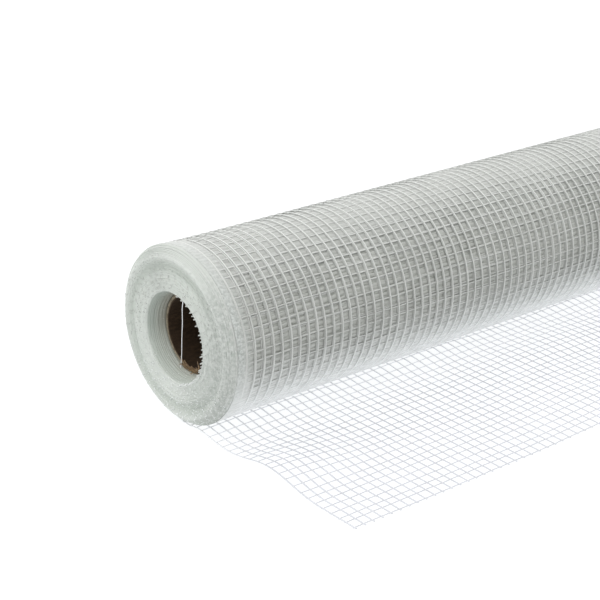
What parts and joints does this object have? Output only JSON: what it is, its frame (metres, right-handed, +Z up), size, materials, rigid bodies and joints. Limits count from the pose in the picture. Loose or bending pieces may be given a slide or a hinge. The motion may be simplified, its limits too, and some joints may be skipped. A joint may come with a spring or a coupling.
{
  "type": "roll of glass-fibre mesh",
  "caption": "Roll of open glass-fibre mesh wound on a cardboard core, lying on its side with its loose end laid flat in front.",
  "frame": {"origin": "middle of the whole object's box, on the floor that it lies on", "axes": "+X along the roll, from the end with the recessed core to the end with the proud core; +Z up; the loose end runs out towards -Y"},
  "size_m": [1.01, 0.1648, 0.0843],
  "materials": {
    "glass_mesh": "satin, milky green-white glass yarns in an open square grid",
    "core_board": "matt brown board, spiral wound"
  },
  "bodies": {
    "root": {"mesh_roll": "glass_mesh", "core_tube": "core_board"}
  },
  "joints": []
}
